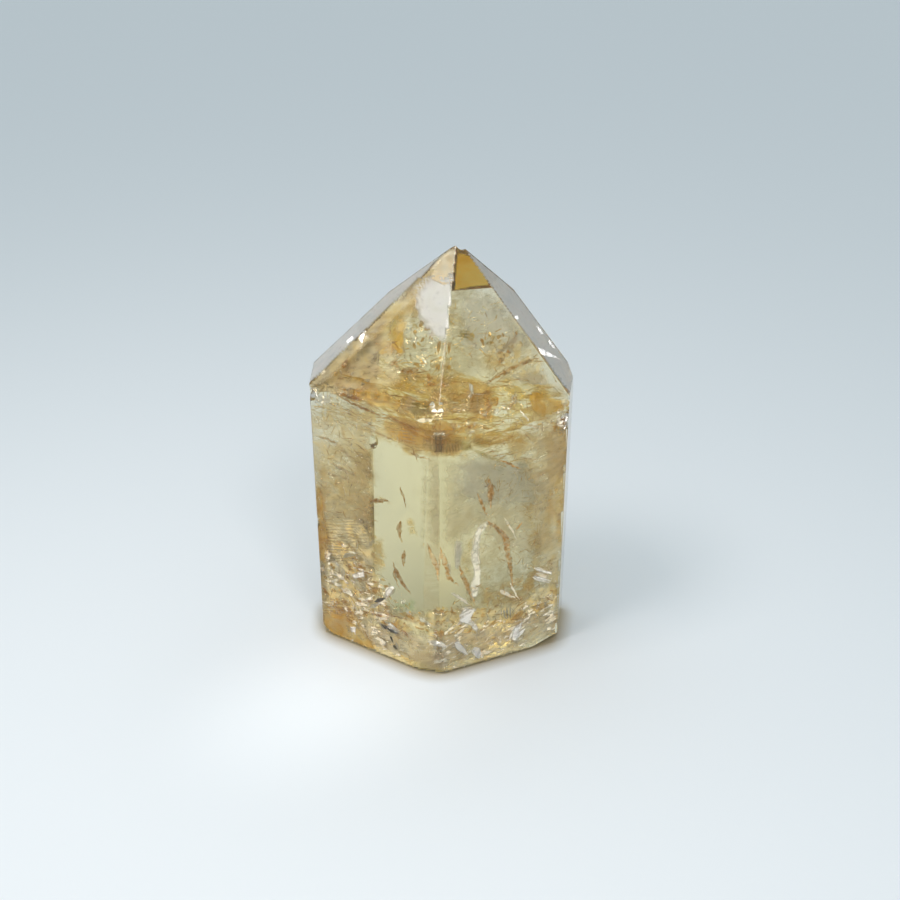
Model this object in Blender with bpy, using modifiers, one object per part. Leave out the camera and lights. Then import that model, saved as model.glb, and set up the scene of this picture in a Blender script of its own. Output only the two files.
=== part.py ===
"""A cut and polished citrine (yellow quartz) crystal point, standing on its ground base.

One solid: a flattened six-sided prism with an uneven six-sided termination. It is made the way a
lapidary makes the real one. A rough block is ground flat, facet by facet, each facet set by its
azimuth, its slope and its reach. Then the sharp edges are eased, and the old chips are knocked out
of the tip, the shoulders and the foot.

Frame: metres, +Z up, the crystal's long axis along +Z, the origin in the middle of the ground base,
the widest two faces towards -Y.
"""

import math

import bmesh
import bpy
from mathutils import Vector, noise

MM = 0.001

# Driving dimensions. The facet lists below set the height, about 63 mm, and the width, 38 mm.
BLOCK_SIDE = 90.0 * MM  # the rough block, well outside every facet
TIP = Vector((2.2 * MM, 0.7 * MM))  # where the plumb line through the tip meets the base
EDGE_EASE = 0.14 * MM  # how wide the polish rounds each sharp edge
EDGE_STEPS = 2  # flats across an eased edge
SOFT_ANGLE = 9.0  # edges that turn by less than this (degrees) are left as ground
BASE_CHAMFER = 0.45 * MM  # how far the small bevel ground round the foot reaches in
CHAMFER_SLOPE = 130.0  # its slope from level, degrees: it faces down and out
SPECK = 0.10 * MM  # ground corners nearer than this are one corner
WELD = 0.01 * MM  # eased corners nearer than this are one point

# The prism: name, azimuth from +X towards +Y (degrees), slope from level (degrees), reach from the
# axis (mm). The left front face leans back by under a degree, so the bevel on the front edge
# widens towards the foot.
PRISM_FACETS = (
    ("left front", 237.5, 89.3, 12.30),
    ("front edge bevel", 254.5, 90.0, 12.90),
    ("right front", 294.0, 90.0, 12.05),
    ("right side", 351.0, 90.0, 18.55),
    ("right back", 74.0, 90.0, 9.25),
    ("left back", 114.0, 90.0, 12.50),
    ("left side", 179.5, 90.0, 18.75),
)

# The termination: name, azimuth, slope, and the height (mm) at which the facet's plane crosses the
# plumb line through the tip. The last two are narrow facets on the shoulders.
TIP_FACETS = (
    ("left front", 234.0, 53.5, 63.0),
    ("right front", 299.0, 57.0, 62.75),
    ("right", 353.5, 51.5, 63.7),
    ("right back", 85.0, 53.0, 63.2),
    ("left back", 114.0, 47.0, 63.2),
    ("left", 182.5, 43.5, 63.4),
    ("left back shoulder", 154.5, 47.5, 66.1),
    ("right back shoulder", 6.5, 74.0, 101.6),
)

# Corners of the foot worn round, in small flats: name, the sharp corner (mm), azimuth, then for
# each flat its slope (over 90 degrees faces down) and how deep it cuts in from the corner (mm).
WORN_CORNERS = (
    ("front", (-0.9, -13.1), 258.0, ((98.0, 0.30), (140.0, 0.70))),
    ("right", (18.0, -5.3), 318.0, ((112.0, 0.70), (140.0, 1.50))),
    ("left", (-18.7, -2.4), 208.0, ((126.0, 0.80),)),
)

# Chips, as shell-like scoops: name, spot on the edge (mm), azimuth and slope that the scoop faces,
# radius and depth of the bite (mm), seed.
CHIPS = (
    ("tip_chip", (3.1, 0.4, 62.4), 320.0, 35.0, 1.10, 0.40, 3),
    ("tip_chip_back", (2.6, 1.2, 62.4), 80.0, 40.0, 1.10, 0.35, 11),
    ("right_shoulder_chip", (18.0, -5.3, 41.0), 318.0, 80.0, 2.40, 0.70, 7),
    ("right_shoulder_nick", (18.0, -5.3, 38.6), 325.0, 90.0, 1.30, 0.45, 17),
    ("left_shoulder_nick", (-18.5, -2.1, 41.9), 212.0, 85.0, 1.60, 0.50, 23),
    ("left_edge_nick", (-18.5, -2.3, 20.5), 208.0, 92.0, 1.10, 0.35, 5),
    ("right_foot_chip", (10.5, -8.6, 0.2), 294.0, 125.0, 1.50, 0.55, 29),
    ("left_foot_chip", (-10.6, -7.9, 0.2), 237.5, 125.0, 1.40, 0.50, 31),
    ("back_foot_chip", (-5.5, 11.1, 0.2), 95.0, 120.0, 2.20, 0.90, 37),
    ("back_edge_nick", (-5.6, 11.2, 31.0), 94.0, 92.0, 1.80, 0.50, 41),
    ("back_shoulder_nick", (-3.4, 10.6, 49.9), 95.0, 65.0, 1.50, 0.55, 43),
)
NOISE_STEP = Vector((1.7, 0.9, 2.3))  # how far apart two seeds read the noise
CHIP_LUMPS = 0.16  # how far a scoop strays from a true ball, as a share of its radius
CHIP_DETAIL = 4  # subdivisions of the ball that each chip is scooped out with
LUMP_WAVES = 2.2  # noise waves across a scoop's radius
RIPPLE_WAVES = 6.6  # finer waves, like the ribs of a shell
RIPPLE_SHARE = 0.25  # their height against the lumps


def new_collection(name):
    collection = bpy.data.collections.new(name)
    bpy.context.scene.collection.children.link(collection)
    return collection


def facet_normal(azimuth, slope):
    """The outward direction of a facet that faces azimuth and lies at slope from level."""
    turn = math.radians(azimuth)
    lie = math.radians(slope)
    return Vector(
        (math.cos(turn) * math.sin(lie), math.sin(turn) * math.sin(lie), math.cos(lie))
    )


def grind(body, point, normal):
    """Grinds away all that lies outside one plane, and closes the cut with a flat face."""
    everything = body.verts[:] + body.edges[:] + body.faces[:]
    cut = bmesh.ops.bisect_plane(
        body, geom=everything, plane_co=point, plane_no=normal, clear_outer=True
    )
    rim = [item for item in cut["geom_cut"] if isinstance(item, bmesh.types.BMEdge)]
    if rim:
        bmesh.ops.edgeloop_fill(body, edges=rim)


def rough_block():
    """A plain block that stands on the base plane."""
    body = bmesh.new()
    bmesh.ops.create_cube(body, size=BLOCK_SIDE)
    bmesh.ops.translate(body, verts=body.verts, vec=(0, 0, BLOCK_SIDE / 2))
    return body


def grind_prism(body):
    for _, azimuth, slope, reach in PRISM_FACETS:
        normal = facet_normal(azimuth, slope)
        grind(body, normal * reach * MM, normal)


def grind_termination(body):
    for _, azimuth, slope, height in TIP_FACETS:
        on_plumb_line = Vector((TIP.x, TIP.y, height * MM))
        grind(body, on_plumb_line, facet_normal(azimuth, slope))


def grind_foot(body):
    """A narrow chamfer under every prism face, so that no edge of the base is sharp."""
    for _, azimuth, slope, reach in PRISM_FACETS:
        wall = facet_normal(azimuth, slope)
        level = facet_normal(azimuth, 90)
        foot = level * reach * MM / wall.dot(level)
        grind(body, foot - level * BASE_CHAMFER, facet_normal(azimuth, CHAMFER_SLOPE))


def wear_corners(body):
    for _, (x, y), azimuth, flats in WORN_CORNERS:
        corner = Vector((x * MM, y * MM, 0))
        for slope, depth in flats:
            normal = facet_normal(azimuth, slope)
            grind(body, corner - normal * depth * MM, normal)


def stand_on_origin(body):
    """Moves the solid so that the middle of its box is over the origin. Returns the move."""
    xs = [vert.co.x for vert in body.verts]
    ys = [vert.co.y for vert in body.verts]
    zs = [vert.co.z for vert in body.verts]
    move = Vector((-(min(xs) + max(xs)) / 2, -(min(ys) + max(ys)) / 2, -min(zs)))
    bmesh.ops.translate(body, verts=body.verts, vec=move)
    return move


def citrine_material():
    """Clear straw-yellow quartz with a high polish."""
    material = bpy.data.materials.new("citrine")
    material.use_nodes = True
    shader = material.node_tree.nodes["Principled BSDF"]
    shader.inputs["Base Color"].default_value = (0.86, 0.72, 0.42, 1)
    shader.inputs["Roughness"].default_value = 0.04
    shader.inputs["IOR"].default_value = 1.544
    shader.inputs["Transmission Weight"].default_value = 1.0
    return material


def add_edge_ease(crystal):
    bevel = crystal.modifiers.new("eased edges", "BEVEL")
    bevel.width = EDGE_EASE
    bevel.segments = EDGE_STEPS
    bevel.limit_method = "ANGLE"
    bevel.angle_limit = math.radians(SOFT_ANGLE)
    weld = crystal.modifiers.new("closed corners", "WELD")
    weld.merge_threshold = WELD


def chip_cutter(name, centre, radius, seed, cutters):
    """A lumpy ball: where it bites into the crystal it leaves a shell-like scoop."""
    ball = bmesh.new()
    bmesh.ops.create_icosphere(ball, subdivisions=CHIP_DETAIL, radius=1)
    drift = seed * NOISE_STEP
    for vert in ball.verts:
        lump = noise.noise(vert.co * LUMP_WAVES + drift)
        ripple = RIPPLE_SHARE * noise.noise(vert.co * RIPPLE_WAVES + drift)
        vert.co *= radius * (1 + CHIP_LUMPS * (lump + ripple))
    mesh = bpy.data.meshes.new(name)
    ball.to_mesh(mesh)
    ball.free()
    cutter = bpy.data.objects.new(name, mesh)
    cutter.location = centre
    cutter.hide_render = True
    cutter.display_type = "WIRE"
    cutters.objects.link(cutter)
    return cutter


def knock_out_chips(crystal, move, cutters):
    for name, spot, azimuth, slope, radius, depth, seed in CHIPS:
        outward = facet_normal(azimuth, slope)
        centre = Vector(spot) * MM + outward * (radius - depth) * MM + move
        cutter = chip_cutter(name, centre, radius * MM, seed, cutters)
        cut = crystal.modifiers.new(name, "BOOLEAN")
        cut.operation = "DIFFERENCE"
        cut.solver = "EXACT"
        cut.object = cutter


for leftover in list(bpy.data.objects):
    bpy.data.objects.remove(leftover, do_unlink=True)

point_collection = new_collection("citrine_crystal_point")
cutter_collection = new_collection("cutters")

stone = rough_block()
grind_prism(stone)
grind_termination(stone)
grind_foot(stone)
wear_corners(stone)
to_origin = stand_on_origin(stone)

bmesh.ops.remove_doubles(stone, verts=stone.verts, dist=SPECK)
bmesh.ops.recalc_face_normals(stone, faces=stone.faces)

stone_mesh = bpy.data.meshes.new("citrine_point")
stone.to_mesh(stone_mesh)
stone.free()
citrine_point = bpy.data.objects.new("citrine_point", stone_mesh)
citrine_point.data.materials.append(citrine_material())
point_collection.objects.link(citrine_point)

add_edge_ease(citrine_point)
knock_out_chips(citrine_point, to_origin, cutter_collection)
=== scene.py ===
"""A cut and polished citrine crystal point, standing on a pale table in soft light.

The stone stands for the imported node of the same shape. Its old cracks, iron-stained veils and
sparkling flakes are thin pieces set inside it, and ride with it.
"""

import math

import bmesh
import bpy
import numpy as np
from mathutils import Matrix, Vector, noise


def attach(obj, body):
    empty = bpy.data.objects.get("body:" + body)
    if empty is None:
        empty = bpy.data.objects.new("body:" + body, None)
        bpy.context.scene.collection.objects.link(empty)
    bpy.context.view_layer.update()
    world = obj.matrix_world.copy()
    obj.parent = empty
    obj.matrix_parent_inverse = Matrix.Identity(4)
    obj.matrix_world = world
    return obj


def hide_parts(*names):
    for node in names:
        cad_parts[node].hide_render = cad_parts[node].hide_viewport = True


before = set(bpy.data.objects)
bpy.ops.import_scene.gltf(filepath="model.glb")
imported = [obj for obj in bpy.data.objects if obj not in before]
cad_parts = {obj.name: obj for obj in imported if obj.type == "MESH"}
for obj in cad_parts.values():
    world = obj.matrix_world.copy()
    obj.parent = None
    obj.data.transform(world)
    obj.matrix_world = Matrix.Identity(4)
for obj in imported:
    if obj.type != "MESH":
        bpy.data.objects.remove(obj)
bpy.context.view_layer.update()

# ---- Camera ----------------------------------------------------------------------------------
# A close view from above the shoulders, 29 degrees down on to the front edge. A short lens, as
# the perspective of the two front faces shows.
EYE = (0.000915, -0.158121, 0.11976)
LOOK_DOWN = math.radians(29.0)
LENS = 49.18
SENSOR = 36.0

camera_data = bpy.data.cameras.new("camera")
camera_data.sensor_fit = "HORIZONTAL"
camera_data.sensor_width = SENSOR
camera_data.lens = LENS
camera_data.clip_start = 0.005
camera = bpy.data.objects.new("camera", camera_data)
camera.location = EYE
camera.rotation_euler = (math.pi / 2 - LOOK_DOWN, 0.0, 0.0)
bpy.context.scene.collection.objects.link(camera)
bpy.context.scene.camera = camera

# ---- Table -----------------------------------------------------------------------------------
# A plain white-painted board, much wider than the view. The stone stands on it with the hair's
# breadth of air that any hard thing on a hard thing has. Close in around the foot its colour is a
# painted contact shadow: ambient occlusion darkens it to a warm dim brown, tinted as light that
# gets there through the stone would be.
AIR_UNDER = 3e-5
TABLE_EDGES = ((-3, -2), (3, -2), (3, 4), (-3, 4))
TABLE_WHITE = (0.80, 0.82, 0.835, 1.0)
# painted shade: the colour the board is painted where the stone is nearest
PAINTED_CONTACT_SHADE = (0.42, 0.36, 0.25, 1.0)
SHADE_REACH = 0.003
SHADED, OPEN = 0.45, 0.95  # how open to the room the board is, in full shade and out of it


def add(tree, kind, values=None, **settings):
    """Adds a node. values: the name or number of an input -> a value or another node's output."""
    node = tree.nodes.new(kind)
    for setting, value in settings.items():
        setattr(node, setting, value)
    for socket, value in (values or {}).items():
        if isinstance(value, bpy.types.NodeSocket):
            tree.links.new(value, node.inputs[socket])
        else:
            node.inputs[socket].default_value = value
    return node


table_mesh = bpy.data.meshes.new("table")
table_mesh.from_pydata([(x, y, -AIR_UNDER) for x, y in TABLE_EDGES], [], [(0, 1, 2, 3)])
table = bpy.data.objects.new("table", table_mesh)
bpy.context.scene.collection.objects.link(table)
table_paint = bpy.data.materials.new("table_paint")
table_paint.use_nodes = True
board = table_paint.node_tree
# painted contact shadow: ambient occlusion darkens the board's colour near the stone
contact = add(board, "ShaderNodeAmbientOcclusion", {"Distance": SHADE_REACH})
openness = add(
    board, "ShaderNodeMapRange",
    {"Value": contact.outputs["AO"], "From Min": SHADED, "From Max": OPEN},
)
shade = add(
    board, "ShaderNodeMix",
    {"Factor": openness.outputs["Result"], "A": PAINTED_CONTACT_SHADE, "B": TABLE_WHITE}, data_type="RGBA",
)
paint = board.nodes["Principled BSDF"]
board.links.new(shade.outputs["Result"], paint.inputs["Base Color"])
paint.inputs["Roughness"].default_value = 0.7
paint.inputs["Specular IOR Level"].default_value = 0.15
table_mesh.materials.append(table_paint)

# ---- Light -----------------------------------------------------------------------------------
# A pale room, brighter overhead than along the walls and darker behind the viewer, and two soft
# lamps close by: the main one up on the left, a weaker one on the right in front. A narrow beam
# falls on the table beside the foot, on the left.
WALLS = (0.37, 0.43, 0.46, 1.0)
CEILING = (0.84, 0.95, 1.0, 1.0)
BEHIND_VIEWER = 0.6  # how bright the room is there, against ahead
LAMPS = (
    # name, place, aimed at, side of the square, watts, tint
    ("main_lamp", (-0.085, -0.055, 0.205), (-0.02, -0.02, 0.0), 0.07, 0.150, (1.06, 1.0, 0.97)),
    ("side_lamp", (0.04, -0.14, 0.19), (0.0, -0.03, 0.0), 0.05, 0.095, (1.04, 1.0, 0.99)),
)
GLEAM_FROM = (-0.12, -0.10, 0.12)
GLEAM_AT = (-0.0125, -0.0135, 0.0)
GLEAM_WATTS = 0.42
GLEAM_WIDTH = math.radians(12.0)

scene = bpy.context.scene
scene.view_settings.view_transform = "Standard"
scene.cycles.max_bounces = 16
scene.cycles.glossy_bounces = 8
scene.cycles.transmission_bounces = 12
scene.cycles.transparent_max_bounces = 24
scene.cycles.diffuse_bounces = 3

world = bpy.data.worlds.new("room")
world.use_nodes = True
scene.world = world
room = world.node_tree
direction = add(room, "ShaderNodeTexCoord").outputs["Generated"]
ways = add(room, "ShaderNodeSeparateXYZ", {"Vector": direction}).outputs
nearness = add(room, "ShaderNodeMapRange", {
    "Value": ways["Y"], "From Min": -1.0, "From Max": 0.6, "To Min": BEHIND_VIEWER, "To Max": 1.0,
})
wall_to_ceiling = add(
    room, "ShaderNodeMix", {"Factor": ways["Z"], "A": WALLS, "B": CEILING}, data_type="RGBA"
)
background = room.nodes["Background"].inputs
room.links.new(wall_to_ceiling.outputs["Result"], background["Color"])
room.links.new(nearness.outputs["Result"], background["Strength"])


def hang(name, kind, place, aim, **settings):
    """Puts up one lamp, aimed at a spot."""
    data = bpy.data.lights.new(name, kind)
    for setting, value in settings.items():
        setattr(data, setting, value)
    lamp = bpy.data.objects.new(name, data)
    lamp.location = place
    lamp.rotation_euler = (Vector(aim) - Vector(place)).to_track_quat("-Z", "Y").to_euler()
    scene.collection.objects.link(lamp)


hang(
    "low_gleam", "SPOT", GLEAM_FROM, GLEAM_AT, energy=GLEAM_WATTS, spot_size=GLEAM_WIDTH,
    spot_blend=1.0, shadow_soft_size=0.01,
)
for name, place, aim, side, watts, tint in LAMPS:
    hang(name, "AREA", place, aim, shape="SQUARE", size=side, energy=watts, color=tint)

# ---- The stone -------------------------------------------------------------------------------
# One piece of clear straw-yellow quartz, sawn, ground flat all round and polished. The colour is
# iron in the quartz, so it deepens with the way the light goes through the stone. The eased
# edges and the worn front corner of the foot are ground glass, not polish.
MM = 0.001
QUARTZ_IOR = 1.544
STRAW = (0.945, 0.78, 0.04, 1.0)  # what the colour lets through, against
STRAW_DEPTH = 33.0  # how much it takes, per metre
POLISH = 0.012
WORN = 0.14  # how rough an eased edge is
FACE_AREA = 3e-6  # a triangle over this belongs to a ground face, not to an eased edge
SAME_FACE = 0.9995  # two triangles whose normals agree this well lie in one ground face
WORN_CORNER = (-2.4, -11.6, 1.6)  # the middle of the worn patch (mm)
WORN_NEAR, WORN_FAR = 3.6 * MM, 5.4 * MM  # it is fully worn up to here, and whole from there
WORN_RAGGED = 3.0 * MM  # how far noise moves that rim
WORN_GRIT = 0.75  # how rough it is at most
WAVES, LUMPS, GRIT = 260.0, 900.0, 5200.0  # waves of the polish, rim and pits, per metre
WAVE_SHARE = 0.12  # the height of the polish's waves against the pits'
PIT_DEPTH = 0.05 * MM
SAME_POINT = 1e-6  # packed corners nearer than this (metres) are one corner


def calc(tree, operation, *terms):
    """The output of one Math node."""
    return add(tree, "ShaderNodeMath", dict(enumerate(terms)), operation=operation).outputs[0]


def vector_calc(tree, operation, first, second):
    """The output of one Vector Math node; SCALE takes a number second."""
    socket = "Scale" if operation == "SCALE" else 1
    values = {0: first, socket: second}
    return add(tree, "ShaderNodeVectorMath", values, operation=operation).outputs[0]


def noise_node(tree, place, scale, detail=2.0, kind="FBM", **more):
    """The number that a Noise Texture gives."""
    values = {"Vector": place, "Scale": scale, "Detail": detail, **more}
    return add(tree, "ShaderNodeTexNoise", values, noise_type=kind).outputs["Fac"]


def mix(tree, share, first, second):
    """A shader that is first, and second by that share."""
    return add(tree, "ShaderNodeMixShader", {0: share, 1: first, 2: second}).outputs[0]


def ramp_colour(tree, value, stops, blend="LINEAR"):
    """The colour that a ramp gives for value. stops: place along the ramp and colour."""
    node = add(tree, "ShaderNodeValToRGB", {"Fac": value})
    ramp = node.color_ramp
    ramp.interpolation = blend
    for end, (place, colour) in zip(ramp.elements, (stops[0], stops[-1])):
        end.position, end.color = place, colour
    for place, colour in stops[1:-1]:
        ramp.elements.new(place).color = colour
    return node.outputs["Color"]


def film_tree(name):
    """A new material and its node tree, for a surface that isn't the plain shader's."""
    material = bpy.data.materials.new(name)
    material.use_nodes = True
    tree = material.node_tree
    tree.nodes.remove(tree.nodes["Principled BSDF"])
    return material, tree


def spread(tree, value, low, high, to_low=0.0, to_high=1.0):
    """A soft step: to_low where value is under low, to_high where it is over high."""
    values = {
        "Value": value, "From Min": low, "From Max": high, "To Min": to_low, "To Max": to_high,
    }
    return add(tree, "ShaderNodeMapRange", values, interpolation_type="SMOOTHSTEP").outputs[0]


def citrine_material():
    material = bpy.data.materials.new("citrine_clear")
    material.use_nodes = True
    tree = material.node_tree
    glass = tree.nodes["Principled BSDF"]
    glass.inputs["Base Color"].default_value = (1.0, 1.0, 1.0, 1.0)
    glass.inputs["IOR"].default_value = QUARTZ_IOR
    glass.inputs["Transmission Weight"].default_value = 1.0
    place = add(tree, "ShaderNodeTexCoord").outputs["Object"]
    worn = add(tree, "ShaderNodeAttribute", attribute_name="worn").outputs["Fac"]
    corner = [value * MM for value in WORN_CORNER]
    away = add(
        tree, "ShaderNodeVectorMath", {0: place, 1: corner}, operation="DISTANCE"
    ).outputs["Value"]
    lumps = noise_node(tree, place, LUMPS, 4.0)
    ragged = calc(tree, "MULTIPLY_ADD", lumps, WORN_RAGGED, away)
    patch = spread(tree, ragged, WORN_NEAR, WORN_FAR, 1.0, 0.0)
    grit = noise_node(tree, place, GRIT, 3.0)
    rough_patch = calc(tree, "MULTIPLY", patch, calc(tree, "MULTIPLY", grit, WORN_GRIT))
    rough_edge = calc(tree, "MULTIPLY", worn, WORN)
    rough = calc(tree, "ADD", calc(tree, "MAXIMUM", rough_patch, rough_edge), POLISH)
    tree.links.new(rough, glass.inputs["Roughness"])
    # The hand polish leaves the flats a little wavy, and the worn patch is pitted.
    waves = noise_node(tree, place, WAVES, 1.0)
    pits = calc(tree, "MULTIPLY", grit, patch)
    height = calc(tree, "MULTIPLY_ADD", waves, WAVE_SHARE, pits)
    bump = add(tree, "ShaderNodeBump", {"Height": height, "Distance": PIT_DEPTH, "Strength": 1.0})
    tree.links.new(bump.outputs["Normal"], glass.inputs["Normal"])
    iron = add(tree, "ShaderNodeVolumeAbsorption", {"Color": STRAW, "Density": STRAW_DEPTH})
    tree.links.new(iron.outputs["Volume"], tree.nodes["Material Output"].inputs["Volume"])
    return material


stone_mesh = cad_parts["citrine_point"].data.copy()
stone_mesh.name = "citrine_stone"
work = bmesh.new()
work.from_mesh(stone_mesh)
bmesh.ops.remove_doubles(work, verts=work.verts, dist=SAME_POINT)
work.to_mesh(stone_mesh)
work.free()
stone_mesh.shade_flat()

ground_faces = []  # normal and reach of every ground face, once each


def on_ground_face(face):
    return any(face.normal.dot(normal) > SAME_FACE for normal, _ in ground_faces)


for face in stone_mesh.polygons:
    if face.area > FACE_AREA and not on_ground_face(face):
        ground_faces.append((face.normal.copy(), face.normal.dot(face.center)))
face_normals = np.array([tuple(normal) for normal, _ in ground_faces])
face_reaches = np.array([reach for _, reach in ground_faces])
worn_faces = stone_mesh.attributes.new("worn", "FLOAT", "FACE")
for face in stone_mesh.polygons:
    worn_faces.data[face.index].value = 0.0 if on_ground_face(face) else 1.0
stone_mesh.materials.clear()
stone_mesh.materials.append(citrine_material())
stone = bpy.data.objects.new("citrine_stone", stone_mesh)
scene.collection.objects.link(stone)
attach(stone, "root")
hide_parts("citrine_point")

# ---- Veils -----------------------------------------------------------------------------------
# Old cracks that healed with iron between their walls: thin sheets that cross the stone, amber
# where the stain is thick and nearly clear between. Each is a bent and rippled skin inside it.
SKIN = 0.35 * MM  # how far under the ground faces a sheet ends
SOFTENED = 1.3 * MM  # over how much depth below that it fades in
BARELY = 0.05 * MM  # points of a blade or a shell nearer to a ground face than this are cut off
GRAZING = 0.2  # the cosine under which hardly any light gets in
TORN = 1.6 * MM  # a cell stretched wider than this is left out
GONE = 0.01  # a cell less solid than this is left out
RIPPLES = ((0.16, 0.9, 0), (0.05, 3.1, 5))  # a sheet's: height and waves by its size, seed step
RIM_BITES = ((0.42, 1.3, 9), (0.16, 4.5, 13))  # the same for how ragged its rim is
RIM = (0.62, 0.98)  # how far out, against its half size, it starts to thin out and is gone
STREAK_SHARE, LUMP_SHARE = 0.6, 0.7  # what a film's streaks and lumps bring to its stain
HALF_COVERED = 0.65  # the height of both over which the stain lies, where it covers half
COVER_REACH = 0.22  # how far more cover lowers that height
TONE_STOPS = (0.40, 0.55, 0.70)  # the lumps' heights where a film is pale, rich and dark
CREASE_TONE = 0.05  # how much a crease darkens it


def depth_inside(points):
    """How far each point is under the nearest ground face; below 0 outside the stone."""
    return (face_reaches - points @ face_normals.T).min(axis=1)


def smooth_step(low, high, value):
    share = np.clip((value - low) / (high - low), 0.0, 1.0)
    return share * share * (3.0 - 2.0 * share)


def noise_at(points, waves, seed):
    """Smooth noise from about -1 to 1 at each point. waves is in lumps per metre."""
    away = Vector((seed * 3.71, seed * 1.93, seed * 2.37))
    return np.array([noise.noise(Vector(point) * waves + away) for point in points])


def facing(azimuth, slope):
    """A direction, from its azimuth and its slope from straight up (degrees)."""
    around, lie = math.radians(azimuth), math.radians(slope)
    return Vector(
        (math.cos(around) * math.sin(lie), math.sin(around) * math.sin(lie), math.cos(lie))
    )


def sheet_points(sheet, steps):
    """A grid of points on one bent, rippled sheet, and how solid each is, from its rim inwards.

    sheet: spot (mm), azimuth and slope that its face looks to, turn about that line (degrees),
    half width, half height and bend (mm), seed.
    """
    spot, azimuth, slope, turn, half_width, half_height, bend, seed = sheet
    normal = facing(azimuth, slope)
    level = facing(azimuth + 90.0, 90.0)
    uphill = normal.cross(level)
    roll = math.radians(turn)
    across = np.array(level * math.cos(roll) + uphill * math.sin(roll))
    along = np.array(uphill * math.cos(roll) - level * math.sin(roll))
    u, v = np.meshgrid(np.linspace(-1, 1, steps), np.linspace(-1, 1, steps))
    u, v = u.ravel(), v.ravel()
    flat = (
        np.array(spot) * MM
        + np.outer(u * half_width * MM, across)
        + np.outer(v * half_height * MM, along)
    )
    size = min(half_width, half_height) * MM
    swell = bend * MM * (u * u + v * v)
    ripple = sum(
        height * size * noise_at(flat, waves / size, seed + more)
        for height, waves, more in RIPPLES
    )
    points = flat + np.outer(swell + ripple, np.array(normal))
    outline = np.hypot(u, v)
    for bite, waves, more in RIM_BITES:
        outline += bite * noise_at(flat, waves / size, seed + more)
    solid = 1.0 - smooth_step(*RIM, outline)
    solid *= smooth_step(SKIN, SKIN + SOFTENED, depth_inside(points))
    return points, solid, np.zeros(len(points), int)


def ways_to(thing, points, normal):
    """The ways inside the stone from points to a thing outside it, seen through faces of that
    normal, and the cosine at which the way out meets the face."""
    way = np.array(thing) - points
    way /= np.linalg.norm(way, axis=1, keepdims=True)
    meet = (way * normal).sum(axis=1, keepdims=True)
    level = (way - meet * normal) / QUARTZ_IOR
    return level + normal * np.sqrt(1.0 - (level * level).sum(axis=1, keepdims=True)), meet


def glint_facing(points, side):
    """The way that a step in a crack faces, where it throws a lamp's light to the viewer.

    side: the ground face that each point is seen through, and lit through: by the main lamp, or
    by the side lamp where the main one only grazes that face.
    """
    normal = face_normals[side]
    main, meet = ways_to(LAMPS[0][1], points, normal)
    other, _ = ways_to(LAMPS[1][1], points, normal)
    both = np.where(meet > GRAZING, main, other) + ways_to(EYE, points, normal)[0]
    return both / np.linalg.norm(both, axis=1, keepdims=True)


def trim(mesh, unwanted):
    """Deletes the points of a mesh that unwanted picks, with their faces."""
    work = bmesh.new()
    work.from_mesh(mesh)
    picked = [vert for vert in work.verts if unwanted(vert)]
    bmesh.ops.delete(work, geom=picked, context="VERTS")
    work.to_mesh(mesh)
    work.free()


def grid_mesh(name, grids, spare=0.0):
    """One mesh of several grids of points. A cell stays where it is solid, and deep enough.

    grids: points, how solid each is, the face it is seen through, and how many make a row.
    """
    points, faces, solids, glints = [], [], [], []
    for place, solid, side, columns in grids:
        deep = depth_inside(place) > SKIN + spare
        start = sum(len(block) for block in points)
        rows = len(place) // columns
        for row in range(rows - 1):
            for column in range(columns - 1):
                first = row * columns + column
                ring = (first, first + 1, first + columns + 1, first + columns)
                joined = np.ptp(place[list(ring)], axis=0).max() < TORN
                if joined and all(deep[i] for i in ring) and max(solid[i] for i in ring) > GONE:
                    faces.append([start + i for i in ring])
        points.append(place)
        solids.append(solid)
        glints.append(glint_facing(place, side))
    mesh = bpy.data.meshes.new(name)
    mesh.from_pydata(np.concatenate(points).tolist(), [], faces)
    rim = mesh.attributes.new("rim", "FLOAT", "POINT")
    rim.data.foreach_set("value", np.concatenate(solids).astype(np.float32))
    glint = mesh.attributes.new("glint", "FLOAT_VECTOR", "POINT")
    glint.data.foreach_set("vector", np.concatenate(glints).astype(np.float32).ravel())
    trim(mesh, lambda vert: not vert.link_faces)
    mesh.shade_smooth()
    return mesh


def set_inside(name, mesh, material=None):
    """Makes a piece that rides on the stone's body."""
    if material:
        mesh.materials.append(material)
    piece = bpy.data.objects.new(name, mesh)
    scene.collection.objects.link(piece)
    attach(piece, "root")


def lay_sheets(name, sheets, steps, material):
    grids = [(*sheet_points(sheet, steps), steps) for sheet in sheets]
    set_inside(name, grid_mesh(name, grids), material)


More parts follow.
